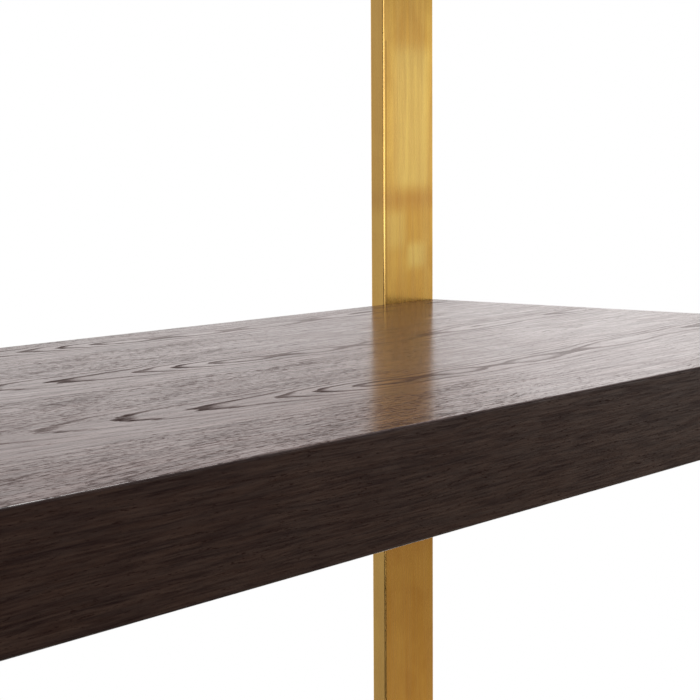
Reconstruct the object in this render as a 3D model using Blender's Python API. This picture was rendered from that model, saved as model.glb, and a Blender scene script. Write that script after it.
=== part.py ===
"""A wall shelf: a hollow oak-veneered board, held by steel arms hidden inside it, on two brass flat bars.

The frame is in metres, +Z up. X runs along the shelf, Y towards the wall, and the room is at -Y.
The origin is on the wall plane, midway between the two bars, level with the top face of the shelf.
Each bar hangs on two wall screws by keyhole slots cut in its back, so nothing shows on its front.
A steel arm is bolted to each bar from behind. The shelf slides over the two arms from the front, and
set screws in its underside clamp it to them.
"""

import math

import bmesh
import bpy
from mathutils import Vector

# Driving dimensions
SHELF_LENGTH = 0.900
SHELF_DEPTH = 0.300
SHELF_THICKNESS = 0.040
SKIN = 0.006  # the veneered board that is folded round the core
BAR_WIDTH = 0.050
BAR_THICKNESS = 0.010
BAR_HEIGHT = 0.600
BAR_ABOVE_SHELF = 0.260
WALL_GAP = 0.003  # the thickness of the pads between a bar and the wall
ARM_SIDE = 0.025  # square steel bar
ARM_LENGTH = 0.220
FIT = 0.0003  # the gap left between two pieces that touch
PAST = 0.001  # how far a cutter reaches past the face that it cuts
SLIDE_FIT = 0.001  # the side play between an arm and its guides

# Edges and round shapes
BAR_EDGE = 0.001  # the rounding of a bar's edges
BOARD_EDGE = 0.001  # the eased arris of the shelf
ARM_EDGE = 0.0008
ARM_NOSE = 0.003  # the taper at an arm's free end, which leads it into the shelf
MITRE_GAP = FIT / math.sqrt(2) + 0.00001
SIDES = 24  # faces round a turned piece
MERGE = 0.000001

# Fasteners
BOLT_RADIUS = 0.003  # M6, from the back of a bar into the end of an arm
BOLT_HEAD_RADIUS = 0.006
BOLT_LENGTH = 0.025
BOLT_SPACING = 0.014
BOLT_SINK = 0.0002  # how far the head lies under the bar's back face
BOLT_HOLE_DEPTH = 0.027
BOLT_SOCKET = 0.004  # across the flats
SOCKET_DEPTH = 0.0028
SCREW_CHAMFER = 0.0007  # at the far end of a bolt or a set screw
WALL_SCREW_RADIUS = 0.0025
WALL_SCREW_LENGTH = 0.050
WALL_HEAD_RADIUS = 0.00475
WALL_HEAD_HEIGHT = 0.0032
WALL_SCREW_POINT = 0.006
RECESS = (0.0045, 0.001, 0.002)  # one blade of the cross in the head: length, width, depth
PLUG_RADIUS = 0.004
PLUG_LENGTH = 0.040
PLUG_TAPER = 0.004
PLUG_COLLAR_RADIUS = 0.0053
PLUG_COLLAR = 0.0008
PLUG_SLIT = 0.0012
PLUG_SOLID_END = 0.010  # the length at the mouth that the slit leaves whole
PAD_RADIUS = 0.007
PAD_EDGE = 0.0006
PAD_FROM_END = 0.015
SET_SCREW_RADIUS = 0.003  # M6, from the underside of the shelf up to an arm
SET_SCREW_SOCKET = 0.003
REAR_SET_SCREW = 0.045  # from the back edge of the shelf
FRONT_SET_SCREW = 0.190
INSERT_RADIUS = 0.005
INSERT_FLANGE_RADIUS = 0.007
INSERT_FLANGE = 0.001
INSERT_LENGTH = 0.0075

# Keyhole slots
KEYHOLE_LIP = 0.0025  # the brass that the screw head pulls against
KEYHOLE_DEPTH = 0.0068
KEYHOLE_RADIUS = 0.0055
KEYHOLE_DROP = 0.014  # from the entry hole's centre up to the screw
KEYHOLE_FROM_END = 0.055

# Core
RAIL_WIDTH = 0.018
RIB_WIDTH = 0.018
RIB_COUNT = 3
GUIDE_WIDTH = 0.012
GUIDE_PAST_ARM = 0.012

# Places that follow from the driving dimensions
BAR_BACK = -WALL_GAP
BAR_FRONT = BAR_BACK - BAR_THICKNESS
BAR_X = (SHELF_LENGTH - BAR_WIDTH) / 2
BAR_TOP = BAR_ABOVE_SHELF
BAR_BOTTOM = BAR_TOP - BAR_HEIGHT
SHELF_BACK = BAR_FRONT - FIT
SHELF_FRONT = SHELF_BACK - SHELF_DEPTH
SHELF_MIDDLE = (SHELF_BACK + SHELF_FRONT) / 2
ARM_TOP = -SKIN - FIT
ARM_MIDDLE = ARM_TOP - ARM_SIDE / 2
ARM_BOTTOM = ARM_TOP - ARM_SIDE
CORE_HEIGHT = SHELF_THICKNESS - 2 * SKIN - 2 * FIT
CORE_MIDDLE = -SHELF_THICKNESS / 2
INSIDE_END = SHELF_LENGTH / 2 - SKIN - FIT
INSIDE_FRONT = SHELF_FRONT + SKIN + FIT
GUIDE_INNER = BAR_X - ARM_SIDE / 2 - SLIDE_FIT
GUIDE_OUTER = BAR_X + ARM_SIDE / 2 + SLIDE_FIT
GUIDE_LENGTH = ARM_LENGTH + GUIDE_PAST_ARM
SCREW_HEIGHTS = {"upper": BAR_TOP - KEYHOLE_FROM_END, "lower": BAR_BOTTOM + KEYHOLE_FROM_END}
PAD_HEIGHTS = {"upper": BAR_TOP - PAD_FROM_END, "lower": BAR_BOTTOM + PAD_FROM_END}
SET_SCREW_DEPTHS = {"rear": SHELF_BACK - REAR_SET_SCREW, "front": SHELF_BACK - FRONT_SET_SCREW}
SIDE_SIGNS = {"left": -1, "right": 1}
BOARD_SIDES = ("left", "right", "front", "back")

# Turns about X that point a turned piece's own +Z the way it faces
TO_ROOM = (math.radians(90), 0, 0)
TO_WALL = (math.radians(-90), 0, 0)


def clear_scene():
    for obj in list(bpy.data.objects):
        bpy.data.objects.remove(obj, do_unlink=True)


def finish(name, colour, roughness, metallic=0.0):
    """A plain Principled material."""
    material = bpy.data.materials.new(name)
    material.use_nodes = True
    shader = material.node_tree.nodes["Principled BSDF"]
    shader.inputs["Base Color"].default_value = (*colour, 1.0)
    shader.inputs["Roughness"].default_value = roughness
    shader.inputs["Metallic"].default_value = metallic
    return material


def add(name, bm, material=None, location=(0, 0, 0), rotation=(0, 0, 0), parent=None, smooth=False):
    """Turns a bmesh into a named object in its place."""
    bmesh.ops.recalc_face_normals(bm, faces=bm.faces)
    mesh = bpy.data.meshes.new(name)
    bm.to_mesh(mesh)
    bm.free()
    if smooth:
        mesh.shade_smooth()
        mesh.set_sharp_from_angle(angle=math.radians(35))
    if material:
        mesh.materials.append(material)
    obj = bpy.data.objects.new(name, mesh)
    obj.location = location
    obj.rotation_euler = rotation
    obj.parent = parent
    bpy.context.scene.collection.objects.link(obj)
    return obj


def cut(piece, cutter):
    """Cuts the cutter out of the piece. One cutter may cut several pieces."""
    cutter.hide_render = True
    cutter.display_type = "WIRE"
    boolean = piece.modifiers.new("cut_" + cutter.name, "BOOLEAN")
    boolean.operation = "DIFFERENCE"
    boolean.solver = "EXACT"
    boolean.object = cutter


def ease(piece, width, segments=1):
    """Breaks the sharp edges of a piece. It comes before any cut."""
    bevel = piece.modifiers.new("eased_edges", "BEVEL")
    bevel.width = width
    bevel.segments = segments
    bevel.limit_method = "ANGLE"


def block(size):
    """A box of this size about its own centre."""
    bm = bmesh.new()
    bmesh.ops.create_cube(bm, size=1.0)
    bmesh.ops.scale(bm, vec=Vector(size), verts=bm.verts)
    return bm


def turned(profile, closed=False, sides=SIDES):
    """A shape turned about Z from points (radius, height). A closed profile makes a ring."""
    bm = bmesh.new()
    points = [bm.verts.new((radius, 0, height)) for radius, height in profile]
    pairs = list(zip(points, points[1:]))
    if closed:
        pairs.append((points[-1], points[0]))
    edges = [bm.edges.new(pair) for pair in pairs]
    about = {"cent": (0, 0, 0), "axis": (0, 0, 1), "angle": math.tau, "steps": sides}
    bmesh.ops.spin(bm, geom=points + edges, use_merge=True, **about)
    bmesh.ops.remove_doubles(bm, verts=bm.verts, dist=MERGE)
    return bm


def turned_pin(radius, length):
    """A plain cylinder from z = 0 up to length."""
    return turned(((0, 0), (radius, 0), (radius, length), (0, length)))


def prism(outline, length):
    """A flat outline in the XY plane, pulled up along Z by length."""
    bm = bmesh.new()
    face = bm.faces.new([bm.verts.new((x, y, 0)) for x, y in outline])
    pulled = bmesh.ops.extrude_face_region(bm, geom=[face])
    raised = [part for part in pulled["geom"] if isinstance(part, bmesh.types.BMVert)]
    bmesh.ops.translate(bm, vec=(0, 0, length), verts=raised)
    return bm


def on_circle(radius, degrees, centre_y=0.0):
    turn = math.radians(degrees)
    return radius * math.cos(turn), centre_y + radius * math.sin(turn)


def slot_outline(radius, start, end):
    """The outline of a slot along Y from start to end, with round ends."""
    lower_end = [on_circle(radius, 180 + degrees, start) for degrees in range(0, 181, 15)]
    upper_end = [on_circle(radius, degrees, end) for degrees in range(0, 181, 15)]
    return lower_end + upper_end


def hexagon(across_flats, length):
    """A hexagonal prism from z = 0 up to length."""
    corner = across_flats / math.sqrt(3)
    return prism([on_circle(corner, degrees) for degrees in range(0, 360, 60)], length)


def nosed_bar(side, length, nose):
    """A square bar along Y about its own centre, with its -Y end tapered on all four sides."""
    bm = block((side, length, side))
    free_end = min(bm.faces, key=lambda face: face.calc_center_median().y)
    bmesh.ops.bevel(bm, geom=list(free_end.edges), offset=nose, segments=1, affect="EDGES")
    return bm


def folded_board(length, width, mitred):
    """A board SKIN thick, with its outer face up at z = 0. The sides named in mitred are cut at 45 degrees.

    It is three rectangles, one above the other: the outer face inside its eased arris, the foot of the
    arris, and the inner face.
    """
    levels = (
        (0.0, BOARD_EDGE, BOARD_EDGE),
        (-BOARD_EDGE / 2, BOARD_EDGE / 2 + MITRE_GAP, 0.0),
        (-SKIN, SKIN + MITRE_GAP, 0.0),
    )
    bm = bmesh.new()
    rings = []
    for height, mitre_inset, square_inset in levels:
        inset = {side: mitre_inset if side in mitred else square_inset for side in BOARD_SIDES}
        left, right = -length / 2 + inset["left"], length / 2 - inset["right"]
        front, back = -width / 2 + inset["front"], width / 2 - inset["back"]
        corners = ((left, front), (right, front), (right, back), (left, back))
        rings.append([bm.verts.new((x, y, height)) for x, y in corners])
    bm.faces.new(rings[0])
    bm.faces.new(reversed(rings[-1]))
    for upper, lower in zip(rings, rings[1:]):
        for i in range(4):
            bm.faces.new((upper[i], lower[i], lower[(i + 1) % 4], upper[(i + 1) % 4]))
    return bm


def keyhole_cutters(name, height, parent):
    """The three cuts of a keyhole slot: the entry hole, the narrow slot in the lip, the wide one under it."""
    entry = height - KEYHOLE_DROP
    narrow = slot_outline(WALL_SCREW_RADIUS + FIT, entry, height)
    wide = slot_outline(KEYHOLE_RADIUS + FIT / 2, entry, height)
    shapes = {
        "entry": (turned_pin(KEYHOLE_RADIUS, KEYHOLE_DEPTH + PAST), (0, PAST, entry)),
        "lip": (prism(narrow, KEYHOLE_LIP + 2 * PAST), (0, PAST, 0)),
        "undercut": (prism(wide, KEYHOLE_DEPTH - KEYHOLE_LIP), (0, -KEYHOLE_LIP, 0)),
    }
    return [
        add(f"{name}_{part}", bm, location=place, rotation=TO_ROOM, parent=parent)
        for part, (bm, place) in shapes.items()
    ]


def bolt_cutter(name, parent, height):
    """The countersunk hole for an arm bolt, long enough to go through the bar and into the arm."""
    sink = BOLT_HEAD_RADIUS + 2 * FIT
    hole = BOLT_RADIUS + FIT
    profile = (
        (0, PAST),
        (sink, PAST),
        (sink, 0),
        (hole, -(sink - hole)),
        (hole, -BOLT_HOLE_DEPTH),
        (0, -BOLT_HOLE_DEPTH),
    )
    return add(name, turned(profile), location=(0, 0, height), rotation=TO_WALL, parent=parent)


def countersunk_bolt(name, location, material):
    """An M6 bolt with a flush head and a hexagon socket. Its head faces the wall."""
    face = -BOLT_SINK
    neck = face - (BOLT_HEAD_RADIUS - BOLT_RADIUS)
    end = face - BOLT_LENGTH
    profile = (
        (0, face),
        (BOLT_HEAD_RADIUS, face),
        (BOLT_RADIUS, neck),
        (BOLT_RADIUS, end + SCREW_CHAMFER),
        (BOLT_RADIUS - SCREW_CHAMFER, end),
        (0, end),
    )
    bolt = add(name, turned(profile), material, location, TO_WALL, smooth=True)
    shape = hexagon(BOLT_SOCKET, 2 * SOCKET_DEPTH)
    socket = add(name + "_socket", shape, location=(0, 0, face - SOCKET_DEPTH), parent=bolt)
    cut(bolt, socket)


def wall_screw(name, location, material):
    """A pan-head screw. Its own z = 0 is the underside of the head, which faces the room."""
    radius, height = WALL_HEAD_RADIUS, WALL_HEAD_HEIGHT
    blade_length, blade_width, blade_depth = RECESS
    profile = (
        (0, height),
        (radius * 0.62, height * 0.97),
        (radius * 0.9, height * 0.75),
        (radius, height * 0.38),
        (radius, 0),
        (WALL_SCREW_RADIUS, 0),
        (WALL_SCREW_RADIUS, -WALL_SCREW_LENGTH + WALL_SCREW_POINT),
        (0, -WALL_SCREW_LENGTH),
    )
    screw = add(name, turned(profile), material, location, TO_ROOM, smooth=True)
    for turn in (0, 90):
        blade = add(
            f"{name}_recess_{turn}",
            block((blade_length, blade_width, 2 * blade_depth)),
            location=(0, 0, height),
            rotation=(0, 0, math.radians(turn)),
            parent=screw,
        )
        cut(screw, blade)


def wall_plug(name, location, material):
    """A nylon plug with a collar on the wall face. Two prongs spread as the screw goes in."""
    bore = WALL_SCREW_RADIUS + FIT
    tip_radius = (bore + PLUG_RADIUS) / 2
    profile = (
        (bore, -PLUG_LENGTH),
        (tip_radius, -PLUG_LENGTH),
        (PLUG_RADIUS, -PLUG_LENGTH + PLUG_TAPER),
        (PLUG_RADIUS, 0),
        (PLUG_COLLAR_RADIUS, 0),
        (PLUG_COLLAR_RADIUS, PLUG_COLLAR),
        (bore, PLUG_COLLAR),
    )
    plug = add(name, turned(profile, closed=True), material, location, TO_ROOM, smooth=True)
    slit_length = PLUG_LENGTH - PLUG_SOLID_END + PAST
    middle = -PLUG_SOLID_END - slit_length / 2
    blade = block((PLUG_SLIT, 4 * PLUG_RADIUS, slit_length))
    cut(plug, add(name + "_slit", blade, location=(0, 0, middle), parent=plug))


def wall_pad(name, location, material):
    """A soft disc between a bar and the wall."""
    thickness = WALL_GAP - FIT
    profile = (
        (0, 0),
        (PAD_RADIUS, 0),
        (PAD_RADIUS, thickness - PAD_EDGE),
        (PAD_RADIUS - PAD_EDGE, thickness),
        (0, thickness),
    )
    add(name, turned(profile), material, location, TO_ROOM, smooth=True)


def brass_bar(side, sign, materials):
    """One upright, hung on the wall, with its arm, bolts, wall screws, plugs and pads."""
    x = sign * BAR_X
    hang = bpy.data.objects.new(f"hang_{side}", None)
    hang.location = (x, BAR_BACK, 0)
    bpy.context.scene.collection.objects.link(hang)

    centre = (0, -BAR_THICKNESS / 2, (BAR_TOP + BAR_BOTTOM) / 2)
    bar = add(
        f"upright_{side}",
        block((BAR_WIDTH, BAR_THICKNESS, BAR_HEIGHT)),
        materials["brass"],
        centre,
        parent=hang,
    )
    ease(bar, BAR_EDGE, segments=2)

    arm = add(
        f"support_arm_{side}",
        nosed_bar(ARM_SIDE, ARM_LENGTH, ARM_NOSE),
        materials["steel"],
        (0, -BAR_THICKNESS - FIT - ARM_LENGTH / 2, ARM_MIDDLE),
        parent=hang,
    )
    ease(arm, ARM_EDGE)

    for place, offset in (("upper", BOLT_SPACING / 2), ("lower", -BOLT_SPACING / 2)):
        height = ARM_MIDDLE + offset
        hole = bolt_cutter(f"bolt_hole_{side}_{place}", hang, height)
        cut(bar, hole)
        cut(arm, hole)
        countersunk_bolt(f"arm_bolt_{side}_{place}", (x, BAR_BACK, height), materials["zinc"])

    for place, height in SCREW_HEIGHTS.items():
        for cutter in keyhole_cutters(f"keyhole_{side}_{place}", height, hang):
            cut(bar, cutter)
        under_head = BAR_BACK - KEYHOLE_LIP - FIT
        wall_screw(f"wall_screw_{side}_{place}", (x, under_head, height), materials["zinc"])
        wall_plug(f"wall_plug_{side}_{place}", (x, 0, height), materials["nylon"])

    for place, height in PAD_HEIGHTS.items():
        wall_pad(f"wall_pad_{side}_{place}", (x, 0, height), materials["rubber"])


def shelf_skins(materials):
    """The veneered boards, mitred where they fold round the front and the ends. Returns the underside."""
    oak = materials["oak"]
    quarter = math.radians(90)
    add(
        "top_panel",
        folded_board(SHELF_LENGTH, SHELF_DEPTH, {"left", "right", "front"}),
        oak,
        (0, SHELF_MIDDLE, 0),
    )
    underside = add(
        "bottom_panel",
        folded_board(SHELF_LENGTH, SHELF_DEPTH, {"left", "right", "back"}),
        oak,
        (0, SHELF_MIDDLE, -SHELF_THICKNESS),
        (2 * quarter, 0, 0),
    )
    add(
        "front_fascia",
        folded_board(SHELF_LENGTH, SHELF_THICKNESS, {"left", "right", "front", "back"}),
        oak,
        (0, SHELF_FRONT, CORE_MIDDLE),
        (quarter, 0, 0),
    )
    for side, sign in SIDE_SIGNS.items():
        add(
            f"end_board_{side}",
            folded_board(SHELF_THICKNESS, SHELF_DEPTH, {"left", "right", "front"}),
            oak,
            (sign * SHELF_LENGTH / 2, SHELF_MIDDLE, CORE_MIDDLE),
            (0, sign * quarter, 0),
        )
    return underside


def strip(name, x_range, y_range, material):
    """A core strip that fills the height between the two skins."""
    size = (x_range[1] - x_range[0], y_range[1] - y_range[0], CORE_HEIGHT)
    middle = (sum(x_range) / 2, sum(y_range) / 2, CORE_MIDDLE)
    return add(name, block(size), material, middle)


def shelf_core(materials):
    """The rails, ribs and arm guides glued between the skins."""
    oak, ply = materials["oak"], materials["ply"]
    between_guides = GUIDE_INNER - GUIDE_WIDTH
    rear_rail_end = between_guides - FIT
    rear_rail_face = SHELF_BACK - RAIL_WIDTH
    front_rail_face = INSIDE_FRONT + RAIL_WIDTH
    strip("rear_rail", (-rear_rail_end, rear_rail_end), (rear_rail_face, SHELF_BACK), oak)
    strip("front_rail", (-INSIDE_END, INSIDE_END), (INSIDE_FRONT, front_rail_face), ply)

    for i in range(RIB_COUNT):
        x = 2 * between_guides * ((i + 1) / (RIB_COUNT + 1) - 0.5)
        across = (x - RIB_WIDTH / 2, x + RIB_WIDTH / 2)
        strip(f"core_rib_{i + 1}", across, (front_rail_face + FIT, rear_rail_face - FIT), ply)

    guide_front = SHELF_BACK - GUIDE_LENGTH
    for side, sign in SIDE_SIGNS.items():
        inner = sorted((sign * between_guides, sign * GUIDE_INNER))
        outer = sorted((sign * GUIDE_OUTER, sign * INSIDE_END))
        strip(f"arm_guide_{side}_inner", inner, (guide_front, SHELF_BACK), ply)
        strip(f"arm_guide_{side}_outer", outer, (guide_front, SHELF_BACK), ply)


def set_screws(underside, materials):
    """The threaded inserts in the underside, with the set screws that clamp the shelf to the arms."""
    bore = SET_SCREW_RADIUS + FIT
    flange, body = INSERT_FLANGE_RADIUS, INSERT_RADIUS
    insert_profile = (
        (bore, 0),
        (flange, 0),
        (flange, INSERT_FLANGE),
        (body, INSERT_FLANGE),
        (body, INSERT_LENGTH),
        (bore, INSERT_LENGTH),
    )
    hole_profile = (
        (0, -PAST),
        (flange + FIT, -PAST),
        (flange + FIT, INSERT_FLANGE + FIT),
        (body + FIT, INSERT_FLANGE + FIT),
        (body + FIT, SKIN + PAST),
        (0, SKIN + PAST),
    )
    tip = ARM_BOTTOM - FIT + SHELF_THICKNESS
    low = 0.0012  # the screw lies a little inside the insert's mouth
    screw_profile = (
        (0, low),
        (SET_SCREW_RADIUS, low),
        (SET_SCREW_RADIUS, tip - SCREW_CHAMFER),
        (SET_SCREW_RADIUS - SCREW_CHAMFER, tip),
        (0, tip),
    )
    brass, zinc = materials["brass"], materials["zinc"]
    for side, sign in SIDE_SIGNS.items():
        for place, y in SET_SCREW_DEPTHS.items():
            here = f"{side}_{place}"
            spot = (sign * BAR_X, y, -SHELF_THICKNESS)
            cut(underside, add("insert_hole_" + here, turned(hole_profile), location=spot))
            add("insert_" + here, turned(insert_profile, closed=True), brass, spot, smooth=True)
            screw = add("set_screw_" + here, turned(screw_profile), zinc, spot, smooth=True)
            shape = hexagon(SET_SCREW_SOCKET, SOCKET_DEPTH + PAST)
            socket = add("set_socket_" + here, shape, location=(0, 0, low - PAST), parent=screw)
            cut(screw, socket)


def main():
    clear_scene()
    materials = {
        "oak": finish("dark_oak", (0.045, 0.030, 0.024), 0.35),
        "ply": finish("core_ply", (0.58, 0.43, 0.27), 0.7),
        "brass": finish("brushed_brass", (0.72, 0.50, 0.20), 0.32, metallic=1.0),
        "steel": finish("black_steel", (0.12, 0.12, 0.125), 0.45, metallic=1.0),
        "zinc": finish("zinc_plate", (0.62, 0.62, 0.64), 0.3, metallic=1.0),
        "nylon": finish("grey_nylon", (0.42, 0.43, 0.44), 0.55),
        "rubber": finish("clear_rubber", (0.55, 0.55, 0.53), 0.8),
    }
    for side, sign in SIDE_SIGNS.items():
        brass_bar(side, sign, materials)
    underside = shelf_skins(materials)
    shelf_core(materials)
    set_screws(underside, materials)


main()
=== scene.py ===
# %% [markdown]
# # A dark oak wall shelf on brass bars
#
# This notebook dresses a finished mechanical model. The model says where every piece is and how big it
# is. Here each piece gets the shape of its edges and the look of its material: open-pored oak veneer,
# brushed brass, powder-coated steel, zinc, nylon and rubber.
#
# One unit is one metre, +Z is up, +X runs along the shelf and the wall is at Y = 0, with the room at -Y.

# %% The frame
import math

import bmesh
import bpy
from mathutils import Matrix, Vector


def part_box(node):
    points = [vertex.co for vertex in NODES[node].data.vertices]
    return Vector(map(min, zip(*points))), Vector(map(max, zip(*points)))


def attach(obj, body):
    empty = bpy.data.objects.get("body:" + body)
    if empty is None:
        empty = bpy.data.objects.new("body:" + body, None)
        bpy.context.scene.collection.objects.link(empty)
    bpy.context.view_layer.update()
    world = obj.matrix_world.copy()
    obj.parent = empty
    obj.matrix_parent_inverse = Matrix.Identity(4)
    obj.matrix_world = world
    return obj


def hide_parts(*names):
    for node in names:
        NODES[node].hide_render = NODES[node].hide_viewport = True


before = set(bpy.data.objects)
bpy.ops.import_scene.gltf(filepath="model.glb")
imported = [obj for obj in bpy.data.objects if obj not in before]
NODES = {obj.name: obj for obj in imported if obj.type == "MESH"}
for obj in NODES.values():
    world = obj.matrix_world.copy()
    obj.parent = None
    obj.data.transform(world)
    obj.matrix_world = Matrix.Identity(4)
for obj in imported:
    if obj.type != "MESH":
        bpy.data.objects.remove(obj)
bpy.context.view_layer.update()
MM = 0.001
SIDES = ("left", "right")

# %% [markdown]
# ## The places that the rest is built from
#
# A dressed model goes wrong when a size is typed twice. So the script measures the model's own boxes
# once, and every later piece starts from those.

# %% Measure the model


class Box:
    """The box of one node, with the corners, the size and the middle that the pieces below ask for."""

    def __init__(self, node):
        self.low, self.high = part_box(node)
        self.size = self.high - self.low
        self.middle = (self.low + self.high) / 2


top_box = Box("top_panel")
bottom_box = Box("bottom_panel")
fascia_box = Box("front_fascia")
end_box = Box("end_board_right")
bar_box = Box("upright_right")
arm_box = Box("support_arm_right")

SHELF_TOP = top_box.high.z
SHELF_BOTTOM = bottom_box.low.z
SHELF_FRONT = fascia_box.low.y
SHELF_BACK = top_box.high.y
SHELF_END = end_box.high.x
SKIN = top_box.size.z
print(f"shelf {2 * SHELF_END:.3f} x {SHELF_BACK - SHELF_FRONT:.3f} x {SHELF_TOP - SHELF_BOTTOM:.3f} m")

# %% [markdown]
# ## The camera
#
# The shelf is seen from close by, just above its top and from the left, so the eye looks along the wood
# at a low angle. That is why the lacquer shines so much. A long lens keeps the lines of the shelf nearly
# parallel. The camera is turned from looking along +Y: first round the vertical, then down, then by
# a third of a degree about its own axis.

# %% Place the camera
CAMERA_PLACE = (-0.4651, -0.6663, 0.0888)
CAMERA_TURN = 51.849
CAMERA_DOWN = 6.104
CAMERA_ROLL = -0.326
CAMERA_LENS = 94.06

camera = bpy.data.objects.new("camera", bpy.data.cameras.new("camera"))
camera.data.lens = CAMERA_LENS
camera.data.clip_start = 0.01
camera.location = CAMERA_PLACE
turn = Matrix.Rotation(math.radians(-CAMERA_TURN), 4, "Z")
tilt = Matrix.Rotation(math.radians(90 - CAMERA_DOWN), 4, "X")
roll = Matrix.Rotation(math.radians(CAMERA_ROLL), 4, "Z")
camera.rotation_euler = (turn @ tilt @ roll).to_euler()
bpy.context.scene.collection.objects.link(camera)
bpy.context.scene.camera = camera
bpy.context.scene.view_settings.view_transform = "Standard"
print("camera at", CAMERA_PLACE)

# %% [markdown]
# ## Building with nodes
#
# Every material below is a small graph. Adding nodes one by one takes four lines each, which hides the
# idea, so this class has one short method for each kind of step. A value given to a method may be
# a plain number or the output of an earlier step.

# %% A short way to write shader nodes


class Graph:
    def __init__(self, tree):
        self.tree = tree

    def put(self, socket, value):
        """Links an output to the socket, or sets the socket's own value."""
        if isinstance(value, bpy.types.NodeSocket):
            self.tree.links.new(value, socket)
        elif value is not None:
            socket.default_value = value

    def node(self, kind, values=None, **settings):
        node = self.tree.nodes.new(kind)
        for name, setting in settings.items():
            setattr(node, name, setting)
        for name, value in (values or {}).items():
            self.put(node.inputs[name], value)
        return node

    def feed(self, node, **values):
        """Puts values into a node's sockets by keyword: base_color is the socket Base Color."""
        for name, value in values.items():
            self.put(node.inputs[name.replace("_", " ").title().replace("Ior", "IOR")], value)
        return node

    def math(self, operation, *values):
        node = self.node("ShaderNodeMath", operation=operation)
        for socket, value in zip(node.inputs, values):
            self.put(socket, value)
        return node.outputs[0]

    def add(self, *values):
        total = values[0]
        for value in values[1:]:
            total = self.math("ADD", total, value)
        return total

    def times(self, *values):
        total = values[0]
        for value in values[1:]:
            total = self.math("MULTIPLY", total, value)
        return total

    def sine(self, value, wavelength, start=0.0):
        """A sine wave of the value, with its upward crossing at start."""
        turns = self.math("DIVIDE", self.math("SUBTRACT", value, start), wavelength)
        return self.math("SINE", self.times(turns, math.tau))

    def ramp(self, value, low, high, out_low=0.0, out_high=1.0):
        """A smooth step from out_low to out_high as the value goes from low to high."""
        values = {"Value": value, "From Min": low, "From Max": high, "To Min": out_low, "To Max": out_high}
        return self.node("ShaderNodeMapRange", values, interpolation_type="SMOOTHSTEP").outputs["Result"]

    def split(self, vector):
        return self.node("ShaderNodeSeparateXYZ", {"Vector": vector}).outputs

    def join(self, x, y, z):
        return self.node("ShaderNodeCombineXYZ", {"X": x, "Y": y, "Z": z}).outputs["Vector"]

    def stretch(self, vector, scale):
        """The vector with each part multiplied by its own number."""
        node = self.node("ShaderNodeVectorMath", operation="MULTIPLY")
        self.put(node.inputs[0], vector)
        self.put(node.inputs[1], scale)
        return node.outputs["Vector"]

    def noise(self, vector, scale=1.0, **values):
        """Soft noise from 0 to 1. Detail, roughness and distortion may be given too."""
        node = self.node("ShaderNodeTexNoise", {"Vector": vector, "Scale": scale})
        return self.feed(node, **values).outputs["Fac"]

    def blend(self, factor, first, second):
        """A mix of two colours."""
        node = self.node("ShaderNodeMix", data_type="RGBA")
        self.put(node.inputs[0], factor)
        self.put(node.inputs[6], first)
        self.put(node.inputs[7], second)
        return node.outputs[2]

    def layers(self, colour, *coats):
        """Lays coats over a colour. Each coat is a mask, its strength and its own colour."""
        for mask, strength, coat in coats:
            colour = self.blend(self.times(mask, strength), colour, coat)
        return colour

    def between(self, factor, first, second):
        """A mix of two numbers."""
        node = self.node("ShaderNodeMix", data_type="FLOAT")
        self.put(node.inputs[0], factor)
        self.put(node.inputs[2], first)
        self.put(node.inputs[3], second)
        return node.outputs[0]

    def use(self, group, **values):
        """Places a node group, and returns its outputs by name."""
        return self.feed(self.node("ShaderNodeGroup", node_tree=group), **values).outputs


def rgb(red, green, blue):
    return (red, green, blue, 1.0)


def new_group(name, inputs, outputs):
    """An empty node group with named sockets, and its graph, its inputs and the node its results go to."""
    tree = bpy.data.node_groups.new(name, "ShaderNodeTree")
    for label, kind in inputs.items():
        tree.interface.new_socket(label, in_out="INPUT", socket_type="NodeSocket" + kind)
    for label, kind in outputs.items():
        tree.interface.new_socket(label, in_out="OUTPUT", socket_type="NodeSocket" + kind)
    graph = Graph(tree)
    given = graph.node("NodeGroupInput").outputs
    result = graph.node("NodeGroupOutput")
    return tree, graph, given, result


def new_material(name, **constants):
    """A material with one Principled shader. Its constants are set on the shader's own sockets."""
    material = bpy.data.materials.new(name)
    material.use_nodes = True
    graph = Graph(material.node_tree)
    shader = graph.feed(material.node_tree.nodes["Principled BSDF"], **constants)
    return material, graph, shader


def millimetres(graph):
    """The point on the surface in the model's own millimetres."""
    place = graph.node("ShaderNodeTexCoord").outputs["Object"]
    return graph.stretch(place, (1 / MM,) * 3)


def bump(graph, shader, height, depth):
    """Feeds a height from 0 to 1, worth depth in metres, to the shader's normal."""
    bumps = graph.node("ShaderNodeBump", {"Height": height, "Distance": depth})
    graph.feed(shader, normal=bumps.outputs["Normal"])


print("node helper ready")

# %% [markdown]
# ## The light
#
# A shelf like this is shown in a white room. A polished or lacquered face shows whatever it
# mirrors, so the room matters more than any lamp. It could be built from real walls, but a world shader
# that changes with direction does the same, costs nothing and can't cast a stray shadow.
#
# Directions are given as two angles in degrees. The heading is 0 towards the viewer's side (-Y), grows
# towards +X, and is 180 at the wall behind the shelf. The height is 0 at the horizon and 90 overhead.
# The camera itself sees plain white. Reflections and soft light see the room.

# %% The white room
BACKDROP_SIDE = 0.55
BACKDROP_LEFT = 1.28
BACKDROP_RIGHT = 1.70
BACKDROP_HIGH = 0.40
BACKDROP_SIDE_LOW = 0.78 * BACKDROP_SIDE
FRONT_LOW = 0.30
FRONT_FLOOR = 1.6 * FRONT_LOW
FRONT_LEVEL = 0.98
FRONT_HIGH = 0.06
FRONT_UPPER = 0.5
CEILING = 1.3
UNDER = 0.35
FLOOR_TINT = rgb(1.0, 0.80, 0.64)

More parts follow.
